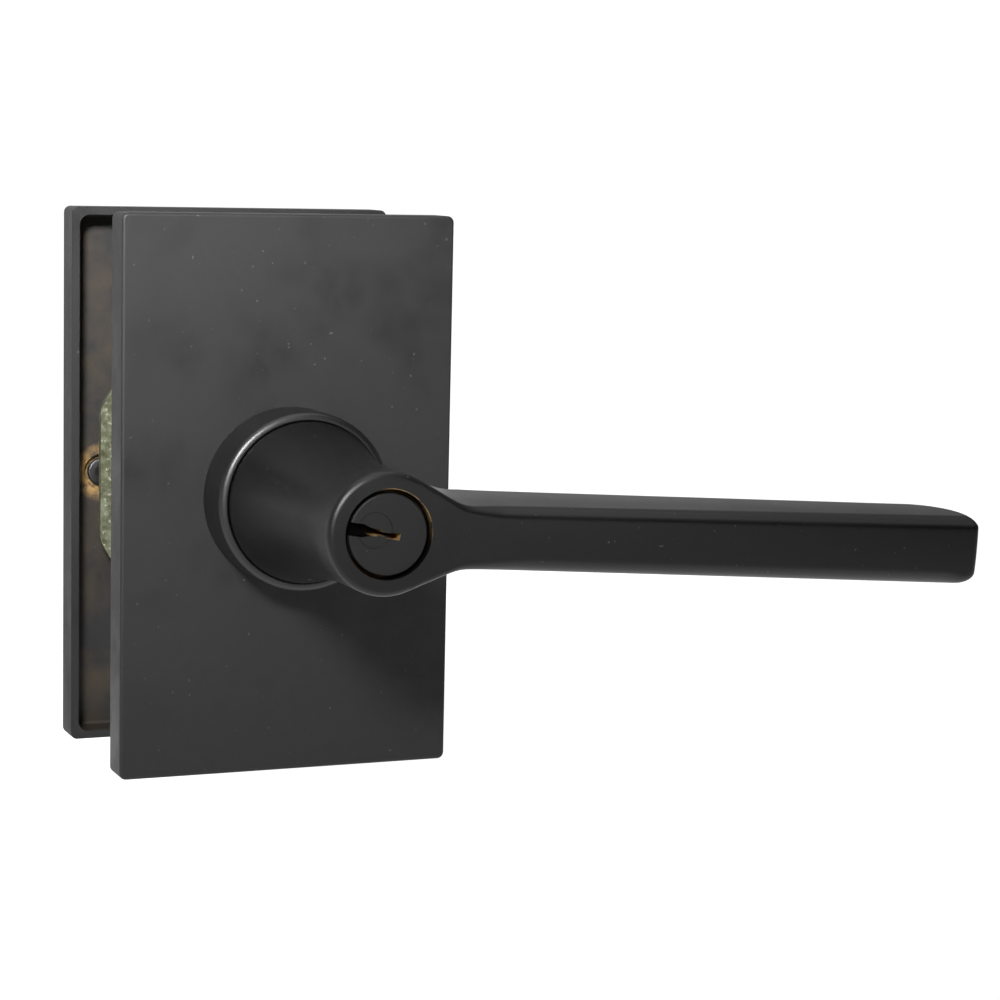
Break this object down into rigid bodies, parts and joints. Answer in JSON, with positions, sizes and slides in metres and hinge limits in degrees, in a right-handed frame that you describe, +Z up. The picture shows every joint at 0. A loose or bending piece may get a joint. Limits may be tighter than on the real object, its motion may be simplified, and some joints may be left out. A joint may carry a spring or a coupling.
{
  "type": "lever handle lockset",
  "caption": "Keyed lever handle lockset: straight lever with a key cylinder on a tall plain rectangular rose, with its chassis, retractor and indoor rose, for a bored door.",
  "frame": {"origin": "on the spindle's axis, half way through the door, midway between the door-side rims of the two roses", "axes": "-Y points outdoors, +Y into the room, +X from the latch edge towards the hinges and along the lever, +Z up"},
  "size_m": [0.1764, 0.1499, 0.1238],
  "materials": {
    "satin_black": "satin black powder coat",
    "blackened_brass": "blackened, satin",
    "brass": "machined",
    "zinc_plate": "yellow-green zinc plating",
    "steel": "plain machined",
    "spring_steel": "drawn wire, oiled"
  },
  "bodies": {
    "chassis": {"exterior_collar": "satin_black", "exterior_collar_ring": "steel", "exterior_housing": "zinc_plate", "exterior_mounting_plate": "zinc_plate", "exterior_return_spring": "spring_steel", "exterior_rose": "satin_black", "exterior_spring_cage": "zinc_plate", "interior_collar": "satin_black", "interior_collar_ring": "steel", "interior_housing": "zinc_plate", "interior_mounting_plate": "zinc_plate", "interior_return_spring": "spring_steel", "interior_rose": "satin_black", "interior_spring_cage": "zinc_plate", "retractor_spring_lower": "spring_steel", "retractor_spring_upper": "spring_steel", "rose_stud_left": "steel", "rose_stud_right": "steel", "spring_seat": "steel", "through_bolt_lower": "steel", "through_bolt_upper": "steel", "through_post_lower": "zinc_plate", "through_post_upper": "zinc_plate"},
    "lever": {"exterior_lever": "satin_black", "exterior_spindle": "steel", "exterior_catch_spring": "spring_steel", "cylinder_body": "brass", "chamber_cap": "brass", "driver_pin_1": "brass", "driver_pin_2": "brass", "driver_pin_3": "brass", "driver_pin_4": "brass", "driver_pin_5": "brass", "pin_spring_1": "spring_steel", "pin_spring_2": "spring_steel", "pin_spring_3": "spring_steel", "pin_spring_4": "spring_steel", "pin_spring_5": "spring_steel", "exterior_spring_driver": "steel", "exterior_rollback_cam": "steel", "drive_tube": "steel", "interior_rollback_cam": "steel", "interior_spindle": "steel", "interior_spring_driver": "steel", "interior_catch_spring": "spring_steel", "interior_spindle_cap": "brass"},
    "plug": {"plug": "blackened_brass", "plug_clip": "steel", "tailpiece": "steel", "bottom_pin_1": "brass", "bottom_pin_2": "brass", "bottom_pin_3": "brass", "bottom_pin_4": "brass", "bottom_pin_5": "brass"},
    "retractor": {"retractor": "steel"},
    "lock_button": {"lock_button": "brass", "locking_bar": "steel"},
    "exterior_catch": {"exterior_lever_catch": "steel"},
    "interior_catch": {"interior_lever_catch": "steel"}
  },
  "joints": [
    {"name": "lever_turn", "type": "hinge", "parent": "chassis", "child": "lever", "pos_m": [0, 0, 0], "axis": [0, 1, 0], "range_deg": [0, 45], "stiffness_Nm_per_rad": 0.5, "springref_deg": -51.57, "deforming": ["exterior_return_spring", "interior_return_spring"]},
    {"name": "retractor_slide", "type": "slide", "parent": "chassis", "child": "retractor", "axis": [1, 0, 0], "range_m": [0, 0.0107], "deforming": ["retractor_spring_upper", "retractor_spring_lower"]},
    {"name": "plug_turn", "type": "hinge", "parent": "lever", "child": "plug", "pos_m": [0, 0, 0], "axis": [0, 1, 0], "range_deg": [-90, 90]},
    {"name": "lock_button_push", "type": "slide", "parent": "lever", "child": "lock_button", "axis": [0, -1, 0], "range_m": [0, 0.005]},
    {"name": "exterior_catch_press", "type": "slide", "parent": "lever", "child": "exterior_catch", "axis": [0.0593, 0, 0.9982], "range_m": [0, 0.003], "stiffness_N_per_m": 200, "springref_m": -0.004, "deforming": ["exterior_catch_spring"]},
    {"name": "interior_catch_press", "type": "slide", "parent": "lever", "child": "interior_catch", "axis": [0, 0, 1], "range_m": [0, 0.003], "stiffness_N_per_m": 200, "springref_m": -0.004, "deforming": ["interior_catch_spring"]}
  ],
  "couplings": [
    {"joint": "retractor_slide", "follows": "lever_turn", "m_per_rad": 0.0136}
  ]
}
